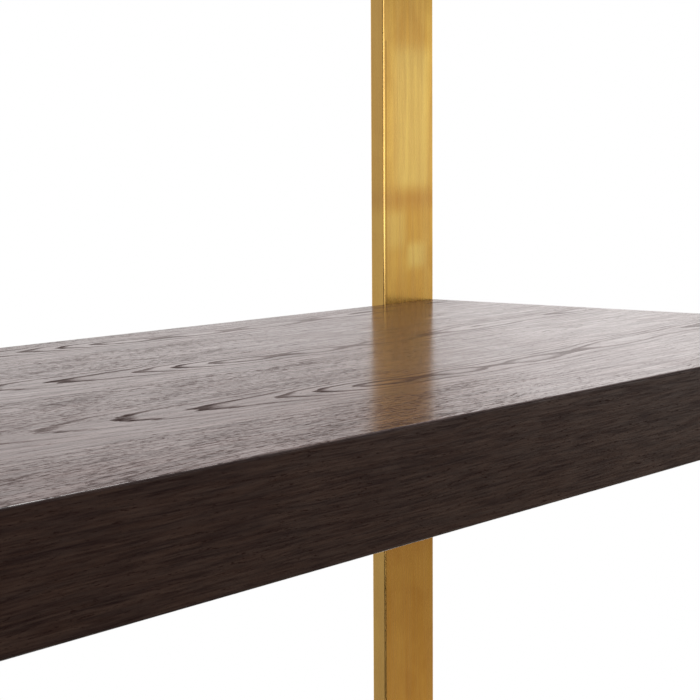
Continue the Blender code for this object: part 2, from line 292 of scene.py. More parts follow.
world = bpy.data.worlds.new("white_room")
world.use_nodes = True
world.node_tree.nodes.clear()
bpy.context.scene.world = world
graph = Graph(world.node_tree)
to_x, to_y, to_z = graph.split(graph.node("ShaderNodeTexCoord").outputs["Generated"])
heading = graph.math("DEGREES", graph.math("ARCTAN2", to_x, graph.times(to_y, -1.0)))
height = graph.math("DEGREES", graph.math("ARCSINE", to_z))


def soft_window(low_heading, high_heading, low_height, high_height, soft, soft_height=1.2):
    """A mask that is 1 inside a rectangle of directions and fades out over its soft borders."""
    mask = graph.ramp(heading, low_heading - soft, low_heading + soft)
    mask = graph.times(mask, graph.ramp(heading, high_heading + soft, high_heading - soft))
    mask = graph.times(mask, graph.ramp(height, low_height - soft_height, low_height + soft_height))
    return graph.times(mask, graph.ramp(height, high_height + soft_height, high_height - soft_height))


front = graph.ramp(height, -10.5, 2.0, FRONT_LOW, FRONT_LEVEL)
for low, high, level in ((4.9, 6.5, FRONT_HIGH), (14.0, 26.0, FRONT_UPPER), (-12.0, -17.0, FRONT_FLOOR)):
    front = graph.between(graph.ramp(height, low, high), front, level)
backdrop = graph.ramp(heading, 133.0, 118.0, BACKDROP_LEFT, BACKDROP_RIGHT)
backdrop = graph.times(backdrop, graph.ramp(height, 3.5, 13.0, 1.0, BACKDROP_HIGH))
aside = graph.ramp(height, -6.0, -12.0, BACKDROP_SIDE, BACKDROP_SIDE_LOW)
backdrop = graph.between(graph.ramp(heading, -60.0, -100.0), backdrop, aside)
sidelong = graph.ramp(graph.math("ABSOLUTE", heading), 80.0, 110.0)
walls = graph.between(sidelong, front, backdrop)
walls = graph.between(graph.ramp(height, -20.0, -30.0), walls, UNDER)
room = graph.between(graph.ramp(height, 35.0, 60.0), walls, CEILING)

# A long low window and a higher one, with dark gaps beside and below them, draw the line on the brass
# bar's edge. Each line gives the headings, the heights, how soft the sides are, and how bright it is.
WINDOWS_AND_GAPS = (
    (-70.0, 10.0, -7.0, -0.6, 5.0, 2.6),
    (18.0, 40.0, -7.0, -0.6, 3.0, 0.05),
    (-34.0, 6.0, -0.6, 9.0, 5.0, 2.6),
    (-112.0, -46.0, -0.6, 9.0, 5.0, 0.08),
    (-110.0, 30.0, -24.0, -8.5, 5.0, 0.03),
)
for *edges, soft, level in WINDOWS_AND_GAPS:
    room = graph.between(soft_window(*edges, soft), room, level)

# A darker doorway in the backdrop, beside the post.
doorway = soft_window(124.5, 130.0, 6.5, 16.0, 3.5, soft_height=1.5)
room = graph.between(graph.times(doorway, 0.5), room, 0.15)

warmth = graph.times(graph.ramp(height, -1.0, -11.0), graph.ramp(sidelong, 1.0, 0.0))
tint = graph.blend(warmth, rgb(1.0, 0.985, 0.98), FLOOR_TINT)
seen = graph.node("ShaderNodeLightPath").outputs["Is Camera Ray"]
lit_room = graph.node("ShaderNodeBackground", {"Color": tint, "Strength": room})
plain_white = graph.node("ShaderNodeBackground", {"Color": rgb(1.0, 1.0, 1.0), "Strength": 1.0})
mixed = graph.node("ShaderNodeMixShader", {"Fac": seen})
graph.put(mixed.inputs[1], lit_room.outputs[0])
graph.put(mixed.inputs[2], plain_white.outputs[0])
graph.node("ShaderNodeOutputWorld", {"Surface": mixed.outputs[0]})
print("world ready")

# %% [markdown]
# One soft box hangs close above the shelf. It brings out the brown of the wood below the lacquer, and it
# is near enough to leave the floor alone.

# %% The soft box
lamp = bpy.data.lights.new("ceiling_soft_box", "AREA")
lamp.shape = "RECTANGLE"
lamp.size = 1.1
lamp.size_y = 0.5
lamp.energy = 16.0
soft_box = bpy.data.objects.new("ceiling_soft_box", lamp)
soft_box.location = (0.3, -0.35, 0.95)
soft_box.rotation_euler = (Vector((0.1, -0.2, 0.0)) - soft_box.location).to_track_quat("-Z", "Y").to_euler()
bpy.context.scene.collection.objects.link(soft_box)
print("soft box ready")

# %% [markdown]
# The shelf hangs about chest high, so the pale floor is far below it. A disc is enough: its edge melts
# into the white.

# %% The floor
FLOOR_HEIGHT = -1.3
FLOOR_RADIUS = 1.0

floor_mesh = bpy.data.meshes.new("floor")
shape = bmesh.new()
bmesh.ops.create_circle(shape, cap_ends=True, radius=FLOOR_RADIUS, segments=128)
shape.to_mesh(floor_mesh)
shape.free()
floor = bpy.data.objects.new("floor", floor_mesh)
floor.location = (0, 0, FLOOR_HEIGHT)
bpy.context.scene.collection.objects.link(floor)
pale, graph, shader = new_material("pale_floor", roughness=0.7)
cloud = graph.noise(millimetres(graph), scale=0.002, detail=3.0)
graph.feed(shader, base_color=graph.blend(cloud, rgb(0.80, 0.80, 0.80), rgb(0.86, 0.86, 0.855)))
floor.data.materials.append(pale)
print("floor at", FLOOR_HEIGHT)

# %% [markdown]
# ## Effects that several materials share
#
# **Worn edges.** Handling polishes metal and thins lacquer where two faces meet. The Bevel node looks
# around each point and returns the normal that a rounded edge would have. Where that differs from the
# true normal, an edge is near. The difference is the mask.

# %% Group: worn edges
edge_group, graph, given, result = new_group("Worn Edges", {"Reach": "Float"}, {"Mask": "Float"})
rounded = graph.node("ShaderNodeBevel", {"Radius": given["Reach"]}, samples=4)
true_normal = graph.node("ShaderNodeNewGeometry").outputs["True Normal"]
agreement = graph.node("ShaderNodeVectorMath", operation="DOT_PRODUCT")
graph.put(agreement.inputs[0], rounded.outputs["Normal"])
graph.put(agreement.inputs[1], true_normal)
graph.feed(result, mask=graph.ramp(agreement.outputs["Value"], 0.995, 0.88))
print(edge_group.name)

# %% [markdown]
# **Brushed lines.** A belt or an abrasive pad leaves thousands of short parallel scratches. Noise that is
# stretched a hundred times along one direction looks like them. Two sizes are mixed: fine hairlines, and
# wider bands where the pad pressed harder.

# %% Group: brushed lines
brush_group, graph, given, result = new_group(
    "Brushed Lines",
    {"Vector": "Vector", "Fineness": "Float"},
    {"Lines": "Float", "Bands": "Float"},
)
across = graph.stretch(given["Vector"], (1.0, 1.0, 0.012))
hairs = graph.noise(across, graph.times(given["Fineness"], 3.2), detail=3.0, roughness=0.65)
scratches = graph.noise(across, graph.times(given["Fineness"], 1.1), detail=2.0, roughness=0.6)
graph.feed(result, lines=graph.ramp(graph.between(0.45, hairs, scratches), 0.3, 0.7))
wide = graph.noise(graph.stretch(given["Vector"], (1.0, 1.0, 0.03)), graph.times(given["Fineness"], 0.16))
graph.feed(result, bands=graph.ramp(wide, 0.3, 0.7))
print(brush_group.name)

# %% [markdown]
# **Clouds.** No finish is perfectly even. Fingers, polish and sunlight leave soft patches a few
# centimetres wide, which show in the shine before they show in the colour.

# %% Group: clouds
cloud_group, graph, given, result = new_group(
    "Clouds", {"Vector": "Vector", "Size": "Float"}, {"Patches": "Float", "Specks": "Float"}
)
scale = graph.math("DIVIDE", 1.0, given["Size"])
patches = graph.noise(given["Vector"], scale, detail=3.0, roughness=0.55, distortion=0.4)
graph.feed(result, patches=graph.ramp(patches, 0.32, 0.68))
specks = graph.noise(given["Vector"], graph.times(scale, 40.0), detail=1.0)
graph.feed(result, specks=graph.ramp(specks, 0.70, 0.78))
print(cloud_group.name)

# %% [markdown]
# **Orange peel.** Powder coat, moulded nylon and rubber are covered with small soft bumps. They come from
# one noise at a grain size given in millimetres.

# %% Group: orange peel
peel_group, graph, given, result = new_group(
    "Orange Peel", {"Vector": "Vector", "Grain": "Float"}, {"Height": "Float"}
)
peel = graph.noise(given["Vector"], graph.math("DIVIDE", 1.0, given["Grain"]), detail=2.0, roughness=0.4)
graph.feed(result, height=peel)
print(peel_group.name)

# %% [markdown]
# **Oak figure.** A flat cut through a tree shows its growth rings as arches. The group does what the
# slicer does: it places the cut in the log and measures how many rings each point is from the heart.
# A curve says how far below the cut the heart runs. Where it falls steadily, arches follow each other
# closely. Where it is nearly level, the cut only grazes a ring and leaves a long dark island.
#
# Oak also has long open pores. They are thin dashes along the grain, crowded in the spring wood.
#
# The vector given to the group is in millimetres: X along the grain, Y across it and Z into the log.

# %% Group: oak figure
RING_WIDTH = 1.7
HEART_RINGS = 3.3
HEART_SPREAD = 0.50
HEART_LEAN = 0.08
LOG_HALF = 520.0
HEART_CURVE = (
    (-520, 17.6),
    (-250, 9.9),
    (-120, 6.3),
    (-70, 5.0),
    (-37, 4.0),
    (-5, 3.0),
    (44, 2.0),
    (64, 1.0),
    (85, 0.0),
    (104, -0.42),
    (124, -0.08),
    (150, -0.55),
    (176, -0.12),
    (205, -0.6),
    (245, -0.15),
    (290, -0.9),
    (335, -0.7),
    (400, -1.6),
    (520, -2.4),
)
CURVE_SPAN = 24.0

oak_group, graph, given, result = new_group(
    "Oak Figure",
    {"Vector": "Vector", "Heart Offset": "Float", "Pore Length": "Float"},
    {"Spring Wood": "Float", "Pores": "Float", "Fibres": "Float", "Tone": "Float"},
)
along, over, into = graph.split(given["Vector"])
curve = graph.node("ShaderNodeFloatCurve")
points = curve.mapping.curves[0].points
for index, (at, rings_below) in enumerate(HEART_CURVE):
    spot = (at / LOG_HALF / 2 + 0.5, rings_below / CURVE_SPAN + 0.15)
    if index in (0, 1):
        points[index].location = spot
    else:
        points.new(*spot)
curve.mapping.update()
graph.put(curve.inputs["Value"], graph.add(graph.times(along, 0.5 / LOG_HALF), 0.5))
below = graph.times(graph.math("SUBTRACT", curve.outputs["Value"], 0.15), CURVE_SPAN)
below = graph.add(below, HEART_RINGS, graph.times(into, 0.12))
wander = graph.times(graph.sine(along, 500.0, 295.0), 7.5)
from_heart = graph.add(over, given["Heart Offset"], wander)
off_centre = graph.math("ABSOLUTE", from_heart)
lopsided = graph.times(off_centre, -HEART_LEAN)
sideways = graph.math("DIVIDE", graph.add(graph.times(from_heart, HEART_SPREAD), lopsided), RING_WIDTH)
large_sway = graph.noise(graph.stretch(given["Vector"], (0.008, 0.05, 0.1)), detail=1.0)
small_sway = graph.noise(graph.stretch(given["Vector"], (0.05, 0.30, 0.3)), detail=2.0)
squares = graph.add(graph.times(sideways, sideways), graph.times(below, below))
rings = graph.add(
    graph.math("SQRT", squares),
    -HEART_RINGS,
    graph.times(graph.math("SUBTRACT", large_sway, 0.5), 0.7),
    graph.times(graph.math("SUBTRACT", small_sway, 0.5), 0.45),
)
phase = graph.math("FRACT", rings)
year = graph.math("FLOOR", rings)
good_year = graph.node("ShaderNodeTexWhiteNoise", {"W": year}, noise_dimensions="1D").outputs["Value"]
near_heart = graph.ramp(rings, 6.0, 1.0)
band_start = graph.between(near_heart, 0.70, 0.52)
band = graph.times(graph.ramp(phase, band_start, 0.84), graph.ramp(phase, 1.0, 0.95))
broken = graph.noise(graph.stretch(given["Vector"], (0.07, 0.9, 0.4)), detail=2.0, roughness=0.6)
# The dark band of a year is broken into dashes, varies from year to year, and fades away from the heart
# and along the log.
spring = graph.times(
    band,
    graph.ramp(broken, 0.36, 0.54, graph.times(near_heart, 0.8), 1.0),
    graph.ramp(good_year, 0.0, 1.0, 0.8, 1.1),
    graph.ramp(off_centre, 17.0, 5.0, 0.22, 1.0),
    graph.ramp(along, 60.0, 200.0, 1.0, 0.58),
)
graph.feed(result, spring_wood=spring)

# Pores are crowded in the spring wood, and rare in the quiet strips and further along the log.
dash_step = graph.math("DIVIDE", 1.0, given["Pore Length"])
drift = graph.add(over, graph.times(large_sway, 6.0))
dash_place = graph.join(graph.times(along, dash_step), graph.times(drift, 1.5), graph.add(into, year))
dashes = graph.noise(dash_place, detail=2.0, roughness=0.6)
crowding = graph.noise(graph.stretch(given["Vector"], (0.03, 0.12, 0.2)), detail=2.0)
quiet = graph.times(graph.ramp(over, -14.0, -4.0), graph.ramp(over, 34.0, 24.0))
quiet = graph.math("MAXIMUM", quiet, graph.ramp(along, 70.0, 220.0, 0.0, 0.85))
crowd = graph.times(crowding, graph.between(quiet, 0.34, 0.12))
threshold = graph.math("SUBTRACT", 0.69, graph.add(graph.times(band, 0.08), crowd))
pores = graph.ramp(dashes, threshold, graph.add(threshold, 0.10))
graph.feed(result, pores=pores)

fibre_place = graph.join(graph.times(along, 0.028), graph.times(drift, 0.95), into)
fibres = graph.noise(fibre_place, detail=4.0, roughness=0.7)
graph.feed(result, fibres=graph.ramp(fibres, 0.32, 0.68))
tone = graph.noise(graph.stretch(given["Vector"], (0.020, 0.26, 0.1)), detail=3.0, roughness=0.6)
graph.feed(result, tone=graph.ramp(tone, 0.3, 0.7))
print(oak_group.name, "with rings", RING_WIDTH, "mm apart")

# %% [markdown]
# ## Dark oak
#
# The wood is stained almost black, then sprayed with satin lacquer. The stain gathers in the pores, and
# the lacquer sinks into them, so each pore is darker, rougher and a little lower than the wood round it.
# At a low angle that is most of what the eye sees: a pale shine, broken by dark dashes.
#
# A veneer sheet is just under 100 mm wide. Sheets from one log are laid side by side, each moved along
# a little from its neighbour, so the same arches come back across the top. Stepping the coordinates by
# one sheet width gives that. Moving each sheet a fraction of a millimetre into the log makes them
# sisters and not copies. The underside is cut from another length of the same log.
#
# The front edge and the ends are strips cut well away from the heart. Their grain is finer and nearly
# straight, they have no sheets, and they take a darker stain. Along every edge the stain is darkest.

# %% Materials: oak
EVEN_SHINE = 0.70
SHEET_WIDTH = 98.5
SHEET_START = 183.25
SHEET_SLIP = 27.0
SHEET_SLICE = 0.6
DARK_STAIN = rgb(0.026, 0.0075, 0.0050)
WARM_STAIN = rgb(0.064, 0.0175, 0.0105)
STRIP_STAIN = rgb(0.0098, 0.0031, 0.0034)
STREAK_STAIN = rgb(0.029, 0.0120, 0.0076)
PORE_STAIN = rgb(0.014, 0.0052, 0.0040)
EDGE_STAIN = rgb(0.008, 0.0040, 0.0036)


def oak_material(
    name, grain, heart_offset, pore_length,
    stains, sheets, fineness, pore_depth, band_depth, gloss, grain_shine,
):
    """Dark lacquered oak. The grain function turns the model's x, y and z into along, across and into."""
    material, graph, shader = new_material(name, specular_ior_level=0.05, coat_roughness=0.20, coat_ior=1.5)
    x, y, z = graph.split(millimetres(graph))
    along, across, into = grain(graph, x, y, z)
    if sheets:
        number = graph.math("FLOOR", graph.math("DIVIDE", graph.add(across, -SHEET_START), SHEET_WIDTH))
        middle = graph.add(graph.times(number, SHEET_WIDTH), SHEET_START + SHEET_WIDTH / 2)
        across = graph.math("SUBTRACT", across, middle)
        along = graph.add(along, graph.times(number, SHEET_SLIP))
        into = graph.add(into, graph.times(number, SHEET_SLICE))
    wood = graph.stretch(graph.join(along, across, into), (fineness, fineness, 1.0))
    oak = graph.use(oak_group, vector=wood, heart_offset=heart_offset, pore_length=pore_length)
    patches = graph.use(cloud_group, vector=wood, size=55.0)["Patches"]
    edges = graph.use(edge_group, reach=0.0012)["Mask"]

    fibres, tone = oak["Fibres"], oak["Tone"]
    pores = graph.times(oak["Pores"], pore_depth)
    open_grain = graph.math("MAXIMUM", pores, graph.times(oak["Spring Wood"], band_depth))
    warm = graph.add(graph.times(fibres, 0.4), graph.times(tone, 0.6))
    stain = graph.blend(warm, *stains)
    stain = graph.layers(stain, (open_grain, 1.0, PORE_STAIN), (edges, 0.8, EDGE_STAIN))
    graph.feed(shader, base_color=stain)
    graph.feed(shader, roughness=graph.between(open_grain, 0.45, 0.85))
    film = graph.add(
        EVEN_SHINE - grain_shine / 2,
        graph.times(patches, 0.10),
        graph.times(tone, 0.18),
        graph.times(fibres, grain_shine),
    )
    graph.feed(shader, coat_weight=graph.times(graph.between(open_grain, film, 0.02), gloss))
    height = graph.math("SUBTRACT", graph.times(fibres, 0.06), graph.times(open_grain, 0.6))
    bump(graph, shader, height, 0.00003)
    return material


def lengthways(graph, x, y, z):
    """The grain of the top: along the shelf, across it from back to front, and down into it."""
    return x, graph.times(y, -1.0), graph.times(z, 0.5)


def underneath(graph, x, y, z):
    """The grain of the underside: the same log, cut further along and turned end for end."""
    return graph.add(graph.times(x, -1.0), 140.0), graph.times(y, -1.0), graph.times(z, 0.5)


def front_strip(graph, x, y, z):
    """The grain of the front edge: a strip cut from the same log well away from its heart."""
    return graph.add(x, 340.0), graph.add(graph.times(z, -1.0), -70.0), graph.times(y, 0.5)


def end_strip(graph, x, y, z):
    """The grain of an end: a strip that runs from back to front."""
    return graph.add(y, 420.0), graph.add(graph.times(z, -1.0), -70.0), graph.times(x, 0.5)


broad = {
    "stains": (DARK_STAIN, WARM_STAIN),
    "sheets": True,
    "fineness": 1.0,
    "pore_depth": 0.72,
    "band_depth": 1.0,
    "gloss": 1.0,
    "grain_shine": 0.34,
}
strip = {
    "stains": (STRIP_STAIN, STREAK_STAIN),
    "sheets": False,
    "fineness": 1.9,
    "pore_depth": 0.85,
    "band_depth": 0.35,
    "gloss": 0.67,
    "grain_shine": 1.0,
}
oak_face = oak_material("oak_face", lengthways, 0.0, 4.2, **broad)
oak_under = oak_material("oak_underside", underneath, 0.0, 4.2, **broad)
oak_front = oak_material("oak_front_strip", front_strip, 190.0, 5.0, **strip)
oak_end = oak_material("oak_end_strip", end_strip, 200.0, 5.0, **strip)
print(oak_face.name, oak_under.name, oak_front.name, oak_end.name)

# %% [markdown]
# ## Birch plywood
#
# The core can't be seen once the shelf is up, but from behind its ends show: thin layers whose grain runs
# by turns along and across, so every second layer shows pale end grain and the others long brown fibres.

# %% Material: plywood
PLY_LAYER = 1.4

ply, graph, shader = new_material("core_plywood", specular_ior_level=0.35)
place = millimetres(graph)
x, y, z = graph.split(place)
wave = graph.noise(graph.stretch(place, (0.02, 0.02, 0.2)))
layer = graph.math("DIVIDE", graph.add(z, graph.times(wave, 0.5)), PLY_LAYER)
turn_over = graph.math("GREATER_THAN", graph.math("FRACT", graph.times(layer, 0.5)), 0.5)
from_middle = graph.math("ABSOLUTE", graph.math("SUBTRACT", graph.math("FRACT", layer), 0.5))
glue_line = graph.ramp(from_middle, 0.44, 0.49)
long_fibres = graph.noise(graph.stretch(place, (0.12, 0.12, 6.0)), detail=4.0, roughness=0.6)
end_dots = graph.noise(graph.stretch(place, (5.0, 5.0, 6.0)), detail=2.0)
long_colour = graph.blend(long_fibres, rgb(0.50, 0.33, 0.18), rgb(0.68, 0.50, 0.31))
end_colour = graph.blend(end_dots, rgb(0.36, 0.22, 0.12), rgb(0.52, 0.35, 0.20))
grime = graph.use(cloud_group, vector=place, size=30.0)["Patches"]
colour = graph.layers(
    graph.blend(turn_over, long_colour, end_colour),
    (glue_line, 0.7, rgb(0.16, 0.09, 0.05)),
    (grime, 0.2, rgb(0.30, 0.20, 0.12)),
)
graph.feed(shader, base_color=colour)
graph.feed(shader, roughness=graph.between(turn_over, 0.58, 0.78))
bump(graph, shader, graph.between(turn_over, long_fibres, end_dots), 0.00008)
print(ply.name)

# %% [markdown]
# ## Brushed brass
#
# The bars are flat stock, brushed from end to end and lacquered before it can tarnish much. Scratches
# along the bar scatter light across it: a reflection is smeared sideways and stays sharper in height. The
# shader's anisotropy does that, with the U direction of the UV map laid across the bar. The scratches
# themselves are bump and small changes of roughness.
#
# Old lacquer leaves clouds: browner where the metal tarnished first, and yellower where it is polished.
# A few soft spots of painted highlight and painted shade, the largest painted shade below the shelf, and one
# painted dark line of shade beside the front left edge are placed on the right-hand bar.

# %% Material: brass bar
brass, graph, shader = new_material("brushed_brass", metallic=1.0, anisotropic=0.45)
place = millimetres(graph)
x, y, z = graph.split(place)
brush = graph.use(brush_group, vector=place, fineness=1.6)
cloud = graph.use(cloud_group, vector=graph.stretch(place, (1.0, 1.0, 0.7)), size=22.0)
edges = graph.use(edge_group, reach=0.0010)["Mask"]
tarnish = graph.use(cloud_group, vector=graph.stretch(place, (5.0, 5.0, 0.35)), size=36.0)["Patches"]


def painted_patch(height, reach, across, width, soft):
    """A soft patch of painted light on the right-hand bar's face, in millimetres up the bar and across it.
    """
    up = graph.ramp(graph.math("ABSOLUTE", graph.add(z, -height)), reach + soft, reach - soft)
    side = graph.ramp(graph.math("ABSOLUTE", graph.add(x, -across)), width + soft, width - soft)
    return graph.times(up, side)


# Painted highlights: bright patches on the right-hand bar's face that stand in for reflections of the room.
painted_highlights = graph.times(painted_patch(110, 42, 428, 17, 7.0), 0.8)
painted_highlights = graph.math("MAXIMUM", painted_highlights, painted_patch(28, 7.0, 432.5, 9.0, 4.0))
painted_highlights = graph.math("MAXIMUM", painted_highlights, graph.times(painted_patch(44, 11, 411, 9, 5.0), 0.6))
# Painted shade: a dark band across the face stands in for a dark reflection, and a large dark patch below
# the shelf stands in for the shelf's shade.
painted_shade = graph.math("MAXIMUM", painted_patch(62, 5.0, 425, 30, 6.0), painted_patch(-80, 70, 425, 40, 20.0))
# A painted dark line of shade beside the front left edge.
painted_shade_line = painted_patch(60, 95, 402.3, 0.3, 0.9)
# The faces that look along X are painted paler than the front face: painted light, standing in for how the
# narrow side catches the room.
side_face_light = graph.node("ShaderNodeNewGeometry").outputs["Normal"]
side_face_light = graph.ramp(graph.math("ABSOLUTE", graph.split(side_face_light)["X"]), 0.8, 0.98)
colour = graph.layers(
    graph.blend(cloud["Patches"], rgb(0.75, 0.425, 0.078), rgb(0.86, 0.525, 0.104)),
    (painted_highlights, 1.0, rgb(0.94, 0.68, 0.185)),
    (painted_shade, 0.8, rgb(0.62, 0.31, 0.062)),
    (tarnish, 0.22, rgb(0.70, 0.36, 0.13)),
    (brush["Lines"], 0.20, rgb(0.56, 0.31, 0.08)),
    (brush["Bands"], 0.18, rgb(0.90, 0.64, 0.20)),
    (cloud["Specks"], 0.3, rgb(0.30, 0.17, 0.06)),
    (side_face_light, 0.4, rgb(0.80, 0.51, 0.20)),
    (edges, 0.9, rgb(1.0, 0.80, 0.46)),
    (painted_shade_line, 0.9, rgb(0.34, 0.16, 0.03)),
)
graph.feed(shader, base_color=colour)
shine = graph.add(0.19, graph.times(brush["Lines"], 0.08), graph.times(tarnish, 0.05))
graph.feed(shader, roughness=graph.math("SUBTRACT", shine, graph.times(edges, 0.05)))
bump(graph, shader, brush["Lines"], 0.000004)
tangent = graph.node("ShaderNodeTangent", direction_type="UV_MAP", uv_map="brushing").outputs[0]
graph.feed(shader, tangent=tangent)
print(brass.name)

# %% [markdown]
# The threaded inserts are small turned brass parts. Turning leaves rings about their own axis instead of a
# long brush mark, but this material draws no rings, only clouds and a fine bump. They have no lacquer, so
# they are a little redder and duller.

# %% Material: turned brass


def small_metal(name, dark, light, worn, wear, clouds, reach, smooth, rough, grain):
    """Bare, blackened or plated metal. Its clouds are dark and rough or light and smooth."""
    material, graph, shader = new_material(name, metallic=1.0)
    place = millimetres(graph)
    cloud = graph.use(cloud_group, vector=place, size=clouds)["Patches"]
    edges = graph.use(edge_group, reach=reach)["Mask"]
    colour = graph.layers(graph.blend(cloud, dark, light), (edges, wear, worn))
    graph.feed(shader, base_color=colour, roughness=graph.between(cloud, rough, smooth))
    bump(graph, shader, graph.use(peel_group, vector=place, grain=grain)["Height"], 0.00001)
    return material


turned_brass = small_metal(
    "turned_brass",
    dark=rgb(0.52, 0.36, 0.14),
    light=rgb(0.70, 0.50, 0.20),
    worn=rgb(0.86, 0.68, 0.36),
    wear=0.6,
    clouds=5.0,
    reach=0.0004,
    smooth=0.28,
    rough=0.42,
    grain=0.25,
)
print(turned_brass.name)

# %% [markdown]
# ## Steel: powder coat, black oxide and zinc
#
# The arms are powder coated. It is a plastic skin with a soft orange peel, and it wears through to grey
# metal at the corners, where the shelf's guides rub.
#
# The bolts are blackened, which keeps the shape of the metal and gives a dark, slightly oily shine. The
# wall screws are zinc plated: pale, a little blue, with a trace of yellow where the plating bath dried.

# %% Materials: steel
powder, graph, shader = new_material("black_powder_coat")
place = millimetres(graph)
peel = graph.use(peel_group, vector=place, grain=0.7)["Height"]
edges = graph.use(edge_group, reach=0.0008)["Mask"]
cloud = graph.use(cloud_group, vector=graph.stretch(place, (1.0, 0.25, 1.0)), size=12.0)
rubbed = graph.times(edges, graph.ramp(cloud["Patches"], 0.45, 0.8))
colour = graph.layers(
    graph.blend(peel, rgb(0.018, 0.018, 0.020), rgb(0.030, 0.030, 0.033)),
    (cloud["Specks"], 0.35, rgb(0.12, 0.12, 0.12)),
    (rubbed, 1.0, rgb(0.36, 0.35, 0.34)),
)
graph.feed(shader, base_color=colour)
graph.feed(shader, metallic=graph.times(rubbed, 0.9))
graph.feed(shader, roughness=graph.between(cloud["Patches"], 0.42, 0.52))
bump(graph, shader, peel, 0.00005)

screw_finish = {"wear": 0.7, "clouds": 4.0, "reach": 0.0003}
black_oxide = small_metal(
    "black_oxide",
    dark=rgb(0.030, 0.030, 0.034),
    light=rgb(0.060, 0.058, 0.060),
    worn=rgb(0.30, 0.29, 0.28),
    smooth=0.30,
    rough=0.42,
    grain=0.3,
    **screw_finish,
)
zinc = small_metal(
    "bright_zinc",
    dark=rgb(0.50, 0.51, 0.54),
    light=rgb(0.66, 0.66, 0.62),
    worn=rgb(0.80, 0.80, 0.80),
    smooth=0.22,
    rough=0.36,
    grain=0.2,
    **screw_finish,
)
print(powder.name, black_oxide.name, zinc.name)

# %% [markdown]
# ## Nylon and rubber
#
# The plugs are moulded in grey nylon, which lets a little light in, so it looks soft and waxy. The pads
# are black rubber: dull, with pale dust on them.

# %% Materials: nylon and rubber
nylon, graph, shader = new_material("grey_nylon", subsurface_weight=0.15, subsurface_scale=0.002)
place = millimetres(graph)
cloud = graph.use(cloud_group, vector=place, size=9.0)
peel = graph.use(peel_group, vector=place, grain=0.35)["Height"]
colour = graph.blend(cloud["Patches"], rgb(0.33, 0.34, 0.35), rgb(0.42, 0.43, 0.43))
graph.feed(shader, base_color=colour)
graph.feed(shader, roughness=graph.between(peel, 0.38, 0.55))
bump(graph, shader, peel, 0.00003)

rubber, graph, shader = new_material("black_rubber", specular_ior_level=0.35)
place = millimetres(graph)
cloud = graph.use(cloud_group, vector=place, size=4.0)
peel = graph.use(peel_group, vector=place, grain=0.25)["Height"]
edges = graph.use(edge_group, reach=0.0005)["Mask"]
dust = graph.add(
    graph.times(cloud["Specks"], 0.5),
    graph.times(edges, 0.25),
    graph.times(cloud["Patches"], 0.15),
)
graph.feed(shader, base_color=graph.blend(dust, rgb(0.016, 0.016, 0.017), rgb(0.13, 0.125, 0.12)))
graph.feed(shader, roughness=graph.between(cloud["Patches"], 0.68, 0.85))
bump(graph, shader, peel, 0.00004)
print(nylon.name, rubber.name)

# %% [markdown]
# ## Making a piece
#
# Each piece below is made as a mesh in its final place, so that the texture coordinates of all pieces
# are the model's own. These helpers turn a mesh into an object that rides on its body, stands for its
# node and has its material. Smooth shading would bend the light on big flat faces, so a Weighted Normal
# modifier lets the largest faces decide.

# %% Helpers: from mesh to piece
CREASE = math.radians(32)
SAME_POINT = 1e-7


def finish_piece(name, shape, material, node, body):
    """Turns a bmesh, already in the model's place, into the piece that stands for a node."""
    bmesh.ops.remove_doubles(shape, verts=shape.verts, dist=SAME_POINT)
    bmesh.ops.recalc_face_normals(shape, faces=shape.faces)
    mesh = bpy.data.meshes.new(name)
    shape.to_mesh(mesh)
    shape.free()
    mesh.materials.append(material)
    piece = bpy.data.objects.new(name, mesh)
    bpy.context.scene.collection.objects.link(piece)
    soften(piece)
    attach(piece, body)
    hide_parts(node)
    return piece


def soften(piece):
    """Smooth shading that stops at creases and keeps flat faces flat."""
    piece.data.shade_smooth()
    piece.data.set_sharp_from_angle(angle=CREASE)
    weighted = piece.modifiers.new("flat_faces_first", "WEIGHTED_NORMAL")
    weighted.keep_sharp = True
    weighted.weight = 80


def loose(shape):
    """A bmesh as a plain object, for use as a cutter."""
    mesh = bpy.data.meshes.new("cutter")
    bmesh.ops.recalc_face_normals(shape, faces=shape.faces)
    shape.to_mesh(mesh)
    shape.free()
    thing = bpy.data.objects.new("cutter", mesh)
    bpy.context.scene.collection.objects.link(thing)
    return thing


def carve(shape, cutters):
    """The bmesh with every cutter taken out of it. The objects made for this are removed again."""
    body = loose(shape)
    tools = [loose(cutter) for cutter in cutters]
    for tool in tools:
        boolean = body.modifiers.new("carve", "BOOLEAN")
        boolean.operation = "DIFFERENCE"
        boolean.solver = "EXACT"
        boolean.object = tool
    bpy.context.view_layer.update()
    carved = bpy.data.meshes.new_from_object(body.evaluated_get(bpy.context.evaluated_depsgraph_get()))
    result = bmesh.new()
    result.from_mesh(carved)
    for thing in (body, *tools):
        mesh = thing.data
        bpy.data.objects.remove(thing)
        bpy.data.meshes.remove(mesh)
    bpy.data.meshes.remove(carved)
    return result


def pointed(shape, centre, towards):
    """Moves a shape made about Z so that its +Z points towards a direction from centre."""
    turned_to = Vector(towards).to_track_quat("Z", "Y").to_matrix().to_4x4()
    bmesh.ops.transform(shape, matrix=Matrix.Translation(Vector(centre)) @ turned_to, verts=shape.verts)
    return shape


print("piece helpers ready")

# %% [markdown]
# ## The veneered boards
#
# The shelf is a box of thin boards with mitred edges: the veneer seems to fold over the corner, and the
# joint is one hairline in the middle of the rounded edge. A plain bevel on a box would round the corner
# but lose the joint. So each board is a stack of rectangles, each a little larger and lower than the one
# above. The first ones follow an eighth of a circle to the middle of the corner, and the last one runs
# down the mitre to the inner face.

